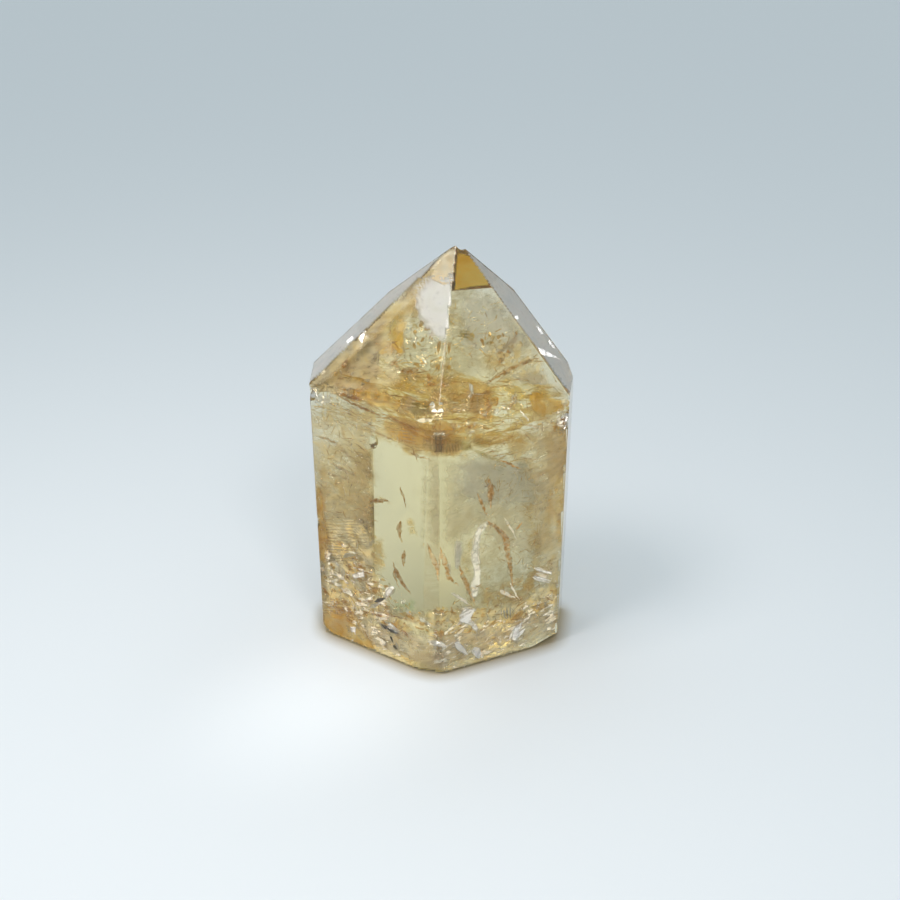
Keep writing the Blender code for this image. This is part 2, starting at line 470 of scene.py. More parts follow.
def film_material(
    name, pale, rich, dark, lie=(0, 0, 0), patch=220.0, grain=(500, 500, 2600),
    cover=0.5, edge=0.18, stain=0.8, body=0.35, gloss=0.3, sheen=0.08, crumple=0.12, ribs=900.0,
    lift=None, lit_rim=0.0, seed=0.0,
):
    """A thin see-through film. It tints what is behind it and scatters a share of the light.

    lie: turns (degrees) of the stain's pattern; patch: its lumps per metre; grain: its streaks
    per metre along three turned axes; cover: how much of the sheet carries stain; edge: how soft
    the stain's rim is; stain, body, gloss: how much it tints, hides and shines, and sheen, how
    softly; crumple and ribs: how high (mm) and how close (per metre) the sheet's creases are;
    lift: the way that the steps in the crack face, where it isn't the way of the sheet; lit_rim:
    how much paler the sheet is along its rim; seed: where its noise is read.
    """
    material, tree = film_tree(name)
    place = add(tree, "ShaderNodeTexCoord").outputs["Object"]
    turned = add(tree, "ShaderNodeMapping", {
        "Vector": place,
        "Location": (seed * 0.01, seed * 0.007, seed * 0.013),
        "Rotation": [math.radians(angle) for angle in lie],
    }).outputs["Vector"]
    lumps = noise_node(tree, turned, patch, 5.0, Roughness=0.62, Distortion=0.6)
    stretched = vector_calc(tree, "MULTIPLY", turned, grain)
    streaks = noise_node(tree, stretched, 1.0, 4.0)
    creases = noise_node(
        tree, vector_calc(tree, "MULTIPLY", turned, [0.5 + way / max(grain) for way in grain]),
        ribs, 3.0, "RIDGED_MULTIFRACTAL", Roughness=0.55,
    )
    both = calc(
        tree, "MULTIPLY_ADD", streaks, STREAK_SHARE, calc(tree, "MULTIPLY", lumps, LUMP_SHARE)
    )
    middle = HALF_COVERED + COVER_REACH * (0.5 - cover)
    mask = spread(tree, both, middle - edge / 2, middle + edge / 2)
    rim = add(tree, "ShaderNodeAttribute", attribute_name="rim").outputs["Fac"]
    solid = calc(tree, "MULTIPLY", mask, rim)
    tone = calc(tree, "MULTIPLY_ADD", creases, CREASE_TONE, lumps)
    tone = calc(tree, "MULTIPLY_ADD", calc(tree, "SUBTRACT", rim, 1.0), lit_rim, tone)
    colours = [(*colour, 1.0) for colour in (pale, rich, dark)]
    colour = ramp_colour(tree, tone, list(zip(TONE_STOPS, colours)))
    tint = add(
        tree, "ShaderNodeMix",
        {"Factor": calc(tree, "MULTIPLY", solid, stain), "A": (1, 1, 1, 1), "B": colour},
        data_type="RGBA",
    )
    clear = add(tree, "ShaderNodeBsdfTransparent", {"Color": tint.outputs["Result"]})
    steps = {"Height": calc(tree, "ADD", creases, streaks), "Distance": crumple * MM}
    if lift == "glint":
        steps["Normal"] = add(tree, "ShaderNodeAttribute", attribute_name="glint").outputs["Vector"]
    elif lift:
        steps["Normal"] = add(tree, "ShaderNodeCombineXYZ", dict(enumerate(lift))).outputs[0]
    creased = add(tree, "ShaderNodeBump", {**steps, "Strength": 1.0}).outputs["Normal"]
    front = add(tree, "ShaderNodeBsdfDiffuse", {"Color": colour, "Normal": creased})
    behind = add(tree, "ShaderNodeBsdfTranslucent", {"Color": colour})
    shine = add(
        tree, "ShaderNodeBsdfGlossy", {"Color": colour, "Roughness": sheen, "Normal": creased}
    )
    glow = mix(tree, 0.5, front.outputs[0], behind.outputs[0])
    shiny = mix(tree, gloss, glow, shine.outputs[0])
    film = mix(tree, calc(tree, "MULTIPLY", solid, body), clear.outputs[0], shiny)
    tree.links.new(film, tree.nodes["Material Output"].inputs["Surface"])
    return material


SHOULDER_VEILS = (
    # spot (mm), azimuth, slope, turn, half width, half height, bend, seed
    ((-3.0, 0.5, 40.6), 20.0, 14.0, -70.0, 11.5, 18.0, -1.6, 1),
    ((-9.0, -0.5, 43.0), 60.0, 20.0, -60.0, 7.0, 9.0, 1.0, 2),
    ((8.5, -2.0, 39.5), 250.0, 12.0, 20.0, 9.0, 8.0, 1.2, 3),
    ((1.0, -4.5, 37.6), 260.0, 38.0, 5.0, 9.0, 4.0, 0.8, 4),
)
MISTS = (
    ((8.0, 0.0, 20.0), 294.0, 86.0, 0.0, 12.0, 20.0, 0.5, 21),
    ((-13.0, 1.0, 22.0), 237.0, 85.0, 0.0, 6.5, 20.0, 0.4, 23),
    ((-3.0, 3.0, 49.0), 250.0, 58.0, 0.0, 9.0, 9.0, 0.6, 25),
    ((6.0, 4.0, 47.0), 300.0, 60.0, 0.0, 9.0, 9.0, 0.6, 26),
    ((0.0, -0.5, 1.6), 0.0, 0.0, 0.0, 16.5, 10.0, 0.5, 27),
)
rust = film_material(
    "rust_veil", (1.0, 0.88, 0.48), (0.94, 0.68, 0.18), (0.66, 0.44, 0.08),
    lie=(0, 10, 25), patch=170.0, grain=(260, 1100, 1300), cover=0.70, edge=0.20,
    stain=0.85, body=0.38, gloss=0.30, seed=1.0,
)
mist = film_material(
    "tan_mist", (0.95, 0.92, 0.83), (0.88, 0.82, 0.66), (0.76, 0.66, 0.46),
    lie=(0, 14, 10), patch=260.0, grain=(240, 1600, 2400), cover=0.75, edge=0.35,
    stain=0.75, body=0.32, gloss=0.4, seed=4.0,
)
lay_sheets("shoulder_veils", SHOULDER_VEILS, 48, rust)
lay_sheets("tan_mists", MISTS, 34, mist)

# ---- Stains ----------------------------------------------------------------------------------
# Smaller healed cracks close under the ground faces, each a patch of its own shape and colour:
# amber and tan where iron got in, smoky where the walls part, silvery where air is left. The
# silver films under the thin side faces are partly such cracks and partly a painted reflection of
# the pale room in those faces, and the two films at the tip are painted light.
# A patch is drawn on the camera's square frame, in pixels from its top left. It lies so many
# millimetres down the sight lines, from where they enter the stone.
FRAME = 900
PATCH_STEP = 2.5  # pixels between two points of a patch
FINE_STEP = 1.0  # the same on patches with sharp rims
SHARP = 1.5  # a rim that fades over fewer pixels than this is sharp
BITES = ((0.45, 0.16), (0.25, 0.5))  # how ragged a rim is: share of its fade, waves per pixel
RELIEF = ((0.22, 0.03), (0.05, 0.12))  # how uneven a patch lies: share of its depth, waves
STAIN_SPARE = -0.3 * MM  # added to SKIN: a patch may come nearer to its face than a sheet
LAYERS_APART = 40.0  # how far apart (pixels per mm) patches of two depths read the noise
CLOSE = 0.6  # a patch less deep than this (mm) ends at the edges of its own ground face
DEEPEST = 0.45  # the share of a sight line's way through the stone that a sheet may lie down
STAINS = {
    # name: patches of (depth in mm, pixels over which the rim fades, x and y of each corner)
    # painted light: the cream film paints the brightly lit table seen through the tip, and the
    # amber one the dimmer amber light beside it
    "tip_cream": (
        (0.5, 1.2, 451, 247, 457.5, 248, 453.5, 287, 442, 285, 430, 279, 431, 267, 440, 254),
    ),
    "tip_amber": (
        (0.6, 1.2, 457.5, 252, 470, 256, 480, 267, 490, 285.5, 472, 287, 454, 291),
    ),
    "amber": (
        (1.0, 5.0, 300, 612, 346, 612, 374, 640, 380, 676, 340, 660, 300, 640),
        (3.0, 6.0, 330, 380, 376, 384, 396, 400, 372, 408, 336, 398),
        (5.0, 5.0, 382, 313, 406, 306, 407, 331, 405, 357, 378, 358, 372, 342, 381, 325),
        (3.0, 7.0, 404, 284, 430, 276, 424, 290, 420, 306, 408, 318, 402, 300),
        (2.0, 4.0, 346, 388, 373, 390, 400, 398, 405, 407, 394, 413, 373, 407, 353, 398),
        (2.2, 4.0, 434, 417, 447, 419, 458, 432, 441, 432, 434, 426),
        (1.5, 1.3, 528, 395, 535, 391, 564, 401, 561, 411, 541, 418, 532, 411),
        (4.0, 1.5, 547, 430, 553.5, 431, 553, 470, 553, 516, 547, 517),
        (2.0, 5.0, 314, 480, 324, 490, 328, 548, 322, 560, 316, 540),
        (3.5, 7.0, 326, 572, 340, 576, 346, 588, 340, 600, 327, 592),
        (3.0, 9.0, 320, 600, 350, 600, 366, 646, 345, 644, 322, 628),
        (2.5, 4.0, 384, 425, 424, 430, 440, 440, 420, 448, 408, 445, 388, 440),
        (2.0, 4.0, 551, 424, 576, 410, 573, 480, 566, 540, 556, 560, 552, 500),
        (1.5, 4.0, 309, 500, 322, 490, 330, 540, 326, 566, 316, 560),
    ),
    "tan": (
        (3.0, 10.0, 490, 330, 530, 344, 556, 372, 520, 384, 480, 366),
        (2.5, 6.0, 366, 424, 400, 424, 470, 444, 470, 462, 430, 456, 372, 440),
        (5.0, 7.0, 357, 539, 386, 537, 387, 562, 379, 596, 362, 596, 350, 566),
        (6.0, 5.0, 480, 584, 497, 581, 515, 578, 533, 566, 552, 560, 552, 600, 515, 612, 480, 606),
        (4.0, 8.0, 316, 446, 375, 446, 376, 490, 374, 530, 345, 520, 318, 500),
        (6.0, 3.0, 464, 539, 473, 537, 471, 573, 467, 580, 461, 566),
        (7.0, 3.0, 406, 519, 413, 517, 419, 537, 409, 536),
        (6.0, 2.0, 368, 502.5, 391, 502.5, 380, 495),
        (7.0, 9.0, 440, 372, 500, 380, 520, 400, 470, 420, 430, 400),
        (4.0, 9.0, 428, 424, 470, 420, 520, 440, 512, 452, 470, 448, 432, 440),
        (3.0, 5.0, 536, 404, 576, 400, 574, 470, 552, 480, 540, 440),
        (4.0, 6.0, 300, 340, 340, 352, 372, 380, 352, 392, 310, 386),
        (3.0, 7.0, 318, 640, 336, 612, 390, 640, 420, 668, 380, 656),
        (5.0, 8.0, 318, 392, 370, 402, 424, 420, 424, 436, 380, 428, 318, 424),
        (6.0, 8.0, 500, 430, 556, 428, 558, 500, 556, 570, 530, 580, 520, 500),
        (5.0, 6.0, 405, 286, 424, 290, 424, 318, 412, 330, 404, 318),
    ),
    "smoke": (
        (2.2, 2.0, 404, 408, 415, 404, 434, 410, 422, 417, 414, 415),
        (2.5, 4.0, 422, 436, 434, 434, 470, 439, 474, 450, 450, 455, 434, 454, 422, 448),
        (7.0, 4.0, 468, 436, 484, 436, 500, 442, 484, 448, 472, 447),
        (8.0, 2.5, 398, 370, 409, 369, 420, 368, 410, 375),
        (5.0, 6.0, 352, 450, 374, 448, 375, 486, 360, 478, 350, 462),
        (5.0, 3.0, 466, 446, 480, 450, 500, 459, 518, 468, 500, 464, 478, 455),
        (5.0, 2.5, 459, 331, 468, 329, 474, 335, 466, 340, 459, 337),
        (5.0, 2.5, 482, 341, 494, 342, 500, 347, 488, 346),
    ),
    # partly thin silvery cracks, partly a painted reflection of the pale room in the thin side
    # faces
    "facet_silver": (
        (0.5, 1.0, 452, 243, 400, 280, 350, 318, 310, 360, 306, 384, 322, 376, 372, 330,
         410, 292, 456, 250),
        (0.5, 1.0, 462, 246, 500, 278, 545, 318, 574, 368, 576, 399, 562, 384, 541, 353,
         500, 300, 468, 260),
    ),
    "silver": (
        (4.0, 6.0, 503, 372, 545, 368, 553, 389, 520, 386),
        (4.0, 1.5, 454, 542, 463, 540, 461, 566, 455, 569),
        (4.0, 3.0, 366, 428, 374, 425, 381, 428, 378, 434, 368, 434),
        (5.0, 16.0, 456, 448, 510, 452, 540, 460, 552, 510, 490, 512, 450, 500),
        (5.0, 14.0, 456, 290, 490, 290, 534, 338, 520, 366, 456, 352),
        (2.0, 4.0, 312, 392, 332, 394, 330, 404, 314, 406),
    ),
    "white_walls": (
        (4.5, 1.2, 490, 520, 480, 524, 475, 533, 473, 548, 471.5, 560, 474, 573, 470, 586,
         472, 598, 477, 597, 480, 584, 481.5, 571, 478.5, 558, 478, 546, 480, 536, 486, 529),
        (1.0, 1.0, 458.5, 615, 465, 608, 476, 609.5, 471, 618, 479, 628, 476, 633, 469.5, 625,
         460, 622),
        (1.0, 1.0, 352, 574, 364, 571, 365, 577, 353, 580),
        (1.0, 1.0, 350, 622, 357, 621, 355, 641, 351, 642),
        (1.0, 1.0, 454, 642, 459, 641, 468, 653, 465, 656),
        (1.0, 1.0, 473, 651, 477, 646, 483, 654, 478, 659),
        (1.0, 1.0, 511, 640, 514, 628, 523, 621, 520, 632, 516, 641),
        (1.0, 1.0, 384, 596, 386, 587, 395, 586, 392, 592, 387, 598),
        (1.0, 1.0, 369, 609, 379, 602, 381, 604, 371, 609),
        (1.0, 1.0, 390, 622, 400, 631, 396, 633, 386, 627),
        (1.0, 1.0, 427, 640, 446, 645, 446, 648, 430, 645),
        (1.0, 1.0, 535, 567, 552, 572, 552, 575, 536, 571),
        (1.0, 1.0, 534, 575, 551, 580, 551, 582, 534, 578),
    ),
    "sparkles": (
        (0.3, 1.0, 538, 347, 564, 360, 541, 355),
        (0.3, 1.0, 547, 338, 551, 341, 556, 349, 551, 347),
        (0.3, 1.0, 514, 316, 518, 315, 519, 319, 516, 320),
        (0.3, 1.0, 536, 327, 538, 325, 544, 334, 541, 335),
        (0.3, 1.0, 359, 341, 362, 329, 366, 330, 362, 343),
        (0.3, 1.0, 346, 341, 352, 336, 354, 338, 347, 344),
        (0.3, 1.0, 566, 396, 574, 394, 573, 407, 567, 408),
        (0.3, 1.0, 309, 394, 316, 391, 318, 397, 311, 399),
        (0.3, 1.0, 567, 414, 571, 412, 569, 426, 563, 430),
    ),
    "white_high": (
        (0.5, 9.0, 419, 272, 474, 274, 468, 300, 460, 352, 432, 340, 415, 318, 412, 290),
        (2.0, 1.0, 334, 357, 340, 349, 348, 350, 342, 358),
        (3.0, 0.8, 361, 384, 363, 379, 370, 378, 368, 383),
        (3.0, 0.8, 346, 393, 348, 388, 353, 389, 351, 393),
        (3.0, 0.8, 469, 383, 473, 384, 474, 393, 471, 391),
        (2.0, 0.8, 525, 320, 529, 318, 531, 326, 527, 327),
        (2.0, 0.8, 531, 334, 535, 331, 537, 338, 533, 339),
        (2.0, 0.8, 311, 394, 315, 392, 316, 398, 312, 398),
    ),
    "haze": (
        (3.0, 9.0, 300, 516, 352, 512, 376, 530, 378, 570, 392, 600, 400, 680, 360, 680, 300, 650),
        (3.5, 9.0, 420, 700, 424, 606, 480, 606, 520, 596, 570, 556, 570, 650, 500, 690),
        (4.0, 9.0, 360, 620, 420, 610, 450, 640, 450, 700, 380, 700),
    ),
    "soft_haze": (
        (0.5, 3.0, 448, 249, 440, 264, 428, 284, 404, 312, 352, 358, 318, 390, 298, 390,
         350, 326, 400, 284),
        (2.0, 4.0, 396, 302, 440, 258, 436, 268, 432, 278, 424, 284, 420, 300, 412, 318,
         406, 334, 394, 334),
        (2.5, 9.0, 294, 388, 320, 350, 366, 316, 390, 306, 398, 350, 404, 384, 372, 400, 330, 396),
        (3.0, 12.0, 290, 396, 374, 424, 376, 540, 350, 570, 290, 560),
        (2.0, 6.0, 528, 398, 580, 394, 578, 480, 540, 480),
        (1.5, 10.0, 516, 440, 576, 420, 576, 600, 536, 580, 530, 500),
    ),
    "grey_haze": (
        (8.0, 10.0, 441, 458, 500, 458, 556, 480, 550, 560, 500, 550, 478, 532, 460, 544,
         441, 550),
    ),
    "bevel_haze": (
        (0.35, 1.0, 412, 452, 445, 452, 445, 612, 412, 612),
    ),
    "white_crackle": (
        (1.5, 5.0, 300, 560, 350, 540, 388, 590, 404, 640, 410, 700, 300, 660),
        (1.5, 5.0, 430, 630, 490, 612, 530, 596, 570, 560, 570, 650, 430, 700),
        (0.8, 4.0, 306, 382, 330, 350, 360, 322, 378, 322, 366, 344, 330, 376),
        (0.8, 3.0, 520, 310, 532, 312, 572, 352, 566, 366, 536, 348),
        (0.8, 3.0, 556, 388, 578, 388, 574, 436, 556, 430),
        (1.5, 4.0, 305, 388, 334, 390, 330, 408, 305, 410),
    ),
    "grit": (
        (2.0, 7.0, 322, 620, 372, 622, 440, 634, 440, 700, 380, 690, 300, 656),
        (2.0, 7.0, 438, 634, 500, 622, 570, 600, 570, 650, 500, 690, 438, 700),
    ),
    "blue_grey": (
        (3.5, 4.0, 499, 609, 512, 606, 518, 612, 510, 621, 500, 620),
        (3.0, 3.0, 543, 599, 550, 599, 549, 609, 543, 608),
        (4.0, 4.0, 515, 461, 530, 461, 529, 470, 517, 469),
        (0.3, 1.5, 544, 360, 572, 373, 573, 396, 562, 385),
    ),
    # painted sheen: rose and green patches stand in for the rainbow sheen of a thin air film
    "rose": (
        (3.0, 5.0, 370, 609, 392, 609, 393, 622, 377, 623),
    ),
    "green_gleam": (
        (3.0, 6.0, 388, 601, 416, 597, 420, 611, 395, 615),
    ),
}
STAIN_FILMS = {
    # name: pale, rich and dark colours, then what differs from the plain film
    # painted light at the tip: cream where the lit table shows through it, amber where that light
    # is dimmer
    "tip_cream": ((1.0, 0.94, 0.76), (1.0, 0.88, 0.64), (1.0, 0.82, 0.52),
                  dict(cover=3.0, body=0.96, gloss=0.40, sheen=0.4, stain=0.6, crumple=0.02)),
    "tip_amber": ((1.0, 0.72, 0.17), (1.0, 0.64, 0.10), (0.95, 0.54, 0.05),
                  dict(cover=3.0, body=0.96, gloss=0.25, sheen=0.45, stain=0.9, crumple=0.02)),
    "amber": ((1.0, 0.82, 0.36), (0.95, 0.65, 0.14), (0.82, 0.48, 0.04),
              dict(cover=1.3, body=0.52, gloss=0.5, sheen=0.4, stain=0.85, patch=420.0,
                   lift="glint")),
    "tan": ((1.0, 0.92, 0.68), (0.95, 0.78, 0.42), (0.80, 0.58, 0.20),
            dict(cover=0.7, body=0.40, gloss=0.5, sheen=0.4, stain=0.70, patch=330.0, edge=0.2,
                 lift="glint")),
    "smoke": ((0.78, 0.69, 0.38), (0.64, 0.53, 0.19), (0.42, 0.33, 0.08),
              dict(cover=1.5, body=0.45, gloss=0.25, stain=0.95, patch=500.0)),
    # partly a silvery crack, partly a painted reflection of the room in the thin side faces
    "facet_silver": ((1.0, 1.0, 1.0), (0.97, 0.99, 1.0), (0.84, 0.88, 0.90),
                     dict(cover=1.8, body=0.78, gloss=0.5, sheen=0.5, stain=0.1, patch=500.0,
                          edge=0.5, crumple=0.12, lift="glint")),
    "white_walls": ((1.0, 1.0, 1.0), (1.0, 1.0, 1.0), (0.90, 0.90, 0.88),
                  dict(cover=0.85, body=0.90, gloss=0.75, sheen=0.35, stain=0.0, patch=900.0,
                       edge=0.35, crumple=0.06, lift="glint")),
    "sparkles": ((1.0, 1.0, 1.0), (1.0, 1.0, 1.0), (1.0, 1.0, 1.0),
                 dict(cover=0.9, body=0.85, gloss=0.8, sheen=0.25, stain=0.0, patch=1500.0,
                      edge=0.3, crumple=0.03, lift="glint")),
    "white_high": ((1.0, 1.0, 1.0), (1.0, 1.0, 0.98), (0.94, 0.94, 0.90),
                   dict(cover=1.9, body=0.80, gloss=0.55, sheen=0.5, stain=0.0, patch=300.0,
                        edge=0.6, grain=(900, 500, 1400), crumple=0.02, lift="glint")),
    "haze": ((1.0, 0.93, 0.66), (1.0, 0.84, 0.44), (0.94, 0.70, 0.26),
             dict(cover=1.1, body=0.74, gloss=0.8, sheen=0.42, stain=0.5, patch=260.0, edge=0.5,
                  grain=(800, 800, 900), lie=(25, 40, 60), ribs=420.0, crumple=0.09,
                  lift="glint")),
    "soft_haze": ((1.0, 0.92, 0.68), (0.98, 0.84, 0.50), (0.90, 0.70, 0.30),
                  dict(cover=1.0, body=0.46, gloss=0.7, sheen=0.45, stain=0.5, patch=240.0,
                       edge=0.5, grain=(500, 900, 1400), crumple=0.09, lift="glint")),
    "bevel_haze": ((0.94, 0.88, 0.72), (0.88, 0.80, 0.60), (0.80, 0.70, 0.46),
                   dict(cover=1.2, body=0.16, gloss=0.5, sheen=0.5, stain=0.4, patch=240.0,
                        edge=0.4, crumple=0.03, lift="glint")),
    "grey_haze": ((1.0, 0.97, 0.88), (0.96, 0.91, 0.78), (0.87, 0.79, 0.61),
                  dict(cover=1.2, body=0.50, gloss=0.6, sheen=0.5, stain=0.4, patch=240.0,
                       edge=0.4, grain=(400, 900, 1600), crumple=0.06, lift="glint")),
    "white_crackle": ((1.0, 0.99, 0.94), (1.0, 0.95, 0.84), (0.94, 0.84, 0.62),
                      dict(cover=0.14, body=0.90, gloss=0.8, sheen=0.3, stain=0.0, patch=500.0,
                           edge=0.07, grain=(500, 900, 1800), crumple=0.12, lift="glint")),
    "grit": ((1.0, 0.95, 0.80), (0.97, 0.86, 0.60), (0.84, 0.68, 0.38),
             dict(cover=0.8, body=0.66, gloss=0.7, sheen=0.45, stain=0.5, patch=500.0, edge=0.35,
                  crumple=0.09, lift="glint")),
    "silver": ((1.0, 1.0, 1.0), (0.95, 0.97, 0.99), (0.80, 0.84, 0.88),
               dict(cover=1.2, body=0.55, gloss=0.35, sheen=0.5, stain=0.1, patch=300.0,
                    edge=0.35, crumple=0.08, lift="glint")),
    "blue_grey": ((0.80, 0.86, 0.88), (0.66, 0.72, 0.74), (0.5, 0.56, 0.58),
                  dict(cover=1.6, body=0.62, gloss=0.3, stain=0.5)),
    # painted sheen: fixed rose and green colours for a thin film's rainbow sheen
    "rose": ((1.0, 0.75, 0.70), (0.95, 0.60, 0.56), (0.8, 0.45, 0.42),
             dict(cover=1.2, body=0.45, gloss=0.2, stain=0.3, patch=500.0)),
    "green_gleam": ((0.80, 0.95, 0.62), (0.62, 0.85, 0.48), (0.5, 0.7, 0.4),
                    dict(cover=1.0, body=0.40, gloss=0.2, stain=0.3, patch=600.0)),
}


def sight_points(x, y, depth):
    """Points that lie depth (metres) inside the stone along the sight lines of some pixels.

    Returns them with the number of the ground face that each line enters by, -1 where none.
    """
    x, y, depth = np.broadcast_arrays(*(np.asarray(value, float) for value in (x, y, depth)))
    scale = camera_data.sensor_width / camera_data.lens / FRAME
    ahead = np.array((0.0, math.cos(LOOK_DOWN), -math.sin(LOOK_DOWN)))
    upward = np.array((0.0, math.sin(LOOK_DOWN), math.cos(LOOK_DOWN)))
    ray = ahead - np.outer((y - FRAME / 2) * scale, upward)
    ray[:, 0] += (x - FRAME / 2) * scale
    ray /= np.linalg.norm(ray, axis=1, keepdims=True)
    slant = ray @ face_normals.T
    way = (face_reaches - np.array(EYE) @ face_normals.T) / slant
    entry = np.where(slant < 0, way, -np.inf)
    face = entry.argmax(axis=1)
    leave = np.where(slant > 0, way, np.inf).min(axis=1)
    start = entry.max(axis=1)
    normal = face_normals[face]
    meet = -(ray * normal).sum(axis=1, keepdims=True)
    bend = np.sqrt(1.0 - (1.0 - meet * meet) / QUARTZ_IOR**2)
    inner = ray / QUARTZ_IOR + (meet / QUARTZ_IOR - bend) * normal
    entered = np.array(EYE) + ray * start[:, None]
    slant = inner @ face_normals.T
    room = face_reaches - entered @ face_normals.T
    through = np.where(slant > 1e-6, room / np.maximum(slant, 1e-6), np.inf).min(axis=1)
    depth = np.minimum(depth, DEEPEST * through)
    return entered + inner * depth[:, None], np.where(start < leave, face, -1)


def inside_outline(x, y, corners):
    """How far (pixels) each point is inside a closed outline, below 0 outside it."""
    inside = np.zeros(len(x), bool)
    nearest = np.full(len(x), np.inf)
    for (ax, ay), (bx, by) in zip(corners, corners[1:] + corners[:1]):
        run, rise = bx - ax, by - ay
        along = np.clip(((x - ax) * run + (y - ay) * rise) / (run**2 + rise**2), 0, 1)
        nearest = np.minimum(nearest, np.hypot(x - ax - along * run, y - ay - along * rise))
        if rise:
            inside ^= ((ay > y) != (by > y)) & (x < ax + (y - ay) * run / rise)
    return np.where(inside, nearest, -nearest)


def patch_points(patch, step=PATCH_STEP):
    """A grid of points over one patch, how solid each is, and the face it is seen through."""
    depth, fade, *pixels = patch
    xs, ys = pixels[::2], pixels[1::2]
    wide = np.arange(min(xs) - step, max(xs) + 2 * step, step)
    high = np.arange(min(ys) - step, max(ys) + 2 * step, step)
    x, y = (block.ravel() for block in np.meshgrid(wide, high))
    flat = np.column_stack((x, y, np.full(len(x), depth * LAYERS_APART)))
    ragged = sum(share * fade * noise_at(flat, waves, depth) for share, waves in BITES)
    solid = smooth_step(0.0, fade, inside_outline(x, y, list(zip(xs, ys))) + ragged)
    relief = sum((share * noise_at(flat, waves, depth) for share, waves in RELIEF), 1.0)
    points, side = sight_points(x, y, depth * MM * relief)
    if depth < CLOSE:
        seen = side[(solid > 0.5) & (side >= 0)]
        side = np.where(side == np.bincount(seen).argmax(), side, -1)
    solid[side < 0] = 0.0
    return points, solid, side, len(wide)


for name, patches in STAINS.items():
    pale, rich, dark, more = STAIN_FILMS[name]
    film = film_material(
        name + "_film", pale, rich, dark, seed=float(len(name)),
        **{"grain": (600, 900, 1800), "lie": (0, 15, 10), **more},
    )
    step = FINE_STEP if patches[0][1] < SHARP else PATCH_STEP
    grids = [patch_points(patch, step) for patch in patches]
    set_inside(name + "_stain", grid_mesh(name + "_stain", grids, STAIN_SPARE), film)

# ---- Feathers --------------------------------------------------------------------------------
# Narrow cracks with rust or air between their walls. Each is a thin blade along a crooked line,
# widest in the middle and running out to nothing, and it faces the front of the stone.
FEATHERS = (
    # width and depth (mm), x and y of each pixel that the blade runs through
    (1.27, 4.5, 487.6, 478, 491, 487, 491, 497, 490.6, 508),
    (0.58, 4.5, 477.7, 493, 482, 504, 485, 511, 487.6, 518),
    (1.16, 4.5, 487, 523, 498, 528, 506, 538, 508, 555, 511, 570, 513, 588),
    (0.58, 4.2, 486, 521, 497, 526, 507, 537, 511, 545),
    (0.97, 5.2, 518, 329, 513, 343, 508, 353, 500, 361, 497, 368),
    (0.68, 5.1, 515, 340, 505, 346, 499, 356, 501, 366),
    (0.82, 4.9, 486, 384, 496, 376, 507, 371, 520, 364, 541, 357),
    (0.43, 5.2, 509, 343, 501, 350, 496, 357, 499, 365, 508, 367),
    (0.63, 3.2, 528, 479, 538, 475, 548, 471, 557, 468),
    (0.58, 5.2, 388, 367, 395, 362.5, 403, 360),
    (1.46, 5.2, 399, 370, 408, 373, 420, 368),
    (0.34, 2.6, 402.6, 294, 403.5, 303, 402.8, 314),
    (0.88, 5.2, 427, 543, 432, 556, 438, 569, 448, 579, 459, 586),
    (1.07, 5.2, 401, 521, 397, 532, 402, 542),
    (0.78, 5.2, 404, 550, 402.5, 560, 404, 567),
    (0.68, 3.9, 368, 501.5, 380, 500, 391, 501.5),
    (0.88, 3.9, 393, 562, 397, 574, 404, 586, 412, 595),
    (0.58, 3.9, 394, 568, 394, 578, 399, 588),
    (0.88, 5.2, 459, 565, 464, 580, 470, 592, 476, 606),
    (0.43, 3.9, 343, 388, 356, 393, 370, 398, 384, 404),
    (0.49, 4.5, 335, 444, 345, 452, 356, 462, 366, 470),
    (0.43, 3.9, 318, 436, 330, 439, 342, 447),
    (0.43, 3.9, 340, 426, 345, 436, 346, 444),
    (0.49, 3.9, 500, 459, 510, 465, 522, 469),
    (0.54, 3.9, 380, 412, 398, 421, 424, 434),
    (0.43, 3.9, 342, 398, 362, 408, 384, 418),
    (0.43, 3.2, 410, 452, 424, 459, 440, 460),
    (0.43, 3.2, 412, 448, 416, 456, 418, 462),
    (0.43, 3.2, 318, 470, 340, 476, 372, 488),
    (0.39, 3.2, 330, 462, 350, 474, 370, 484),
    (0.49, 3.9, 350, 530, 356, 537, 361, 541),
    (0.49, 3.9, 523, 522, 517, 528, 514, 532),
    (0.39, 3.9, 400, 486, 404, 497, 406, 508),
)
FLARES = (
    (1.50, 5.2, 489, 523, 481, 527, 477, 535, 475.5, 547, 475, 558, 478, 571, 474, 583, 474, 598),
    (0.80, 4.9, 476, 550, 478, 562, 479, 574),
    (1.60, 3.9, 458, 616, 463, 611, 470, 609, 476, 610),
    (1.40, 3.9, 462, 617, 469, 620, 475, 624, 477, 633),
    (1.30, 5.9, 458, 540, 458, 554, 457, 569),
    (0.50, 5.9, 449, 561, 450, 569, 450, 577),
    (0.80, 3.2, 499, 590, 507, 595, 516, 598),
    (0.45, 3.0, 364, 591, 364.5, 598, 365, 607),
    (0.80, 2.0, 352, 621, 354, 632, 353, 641),
    (0.55, 3.2, 429, 405, 435, 410, 444, 412),
    (0.70, 3.9, 416, 421, 425, 421, 434, 419),
    (0.35, 3.9, 417, 405, 416, 413, 415, 419),
    (0.60, 2.6, 524, 424, 540, 429, 553, 428, 566, 423),
    (0.50, 5.9, 504, 518, 510, 526, 517, 540),
    (0.60, 3.0, 342, 573, 351, 566, 357, 555, 358, 541),
    (0.45, 3.2, 355, 530, 360, 538, 358, 550),
    (0.60, 2.6, 451, 593, 461, 598, 472, 607),
    (0.40, 2.6, 510, 582, 514, 592, 519, 600),
    (0.70, 3.0, 411, 409, 414, 412, 417, 411),
    (0.60, 5.2, 470, 383, 471, 389, 473, 394),
    (0.40, 3.9, 530, 423, 524, 415, 520, 410),
)
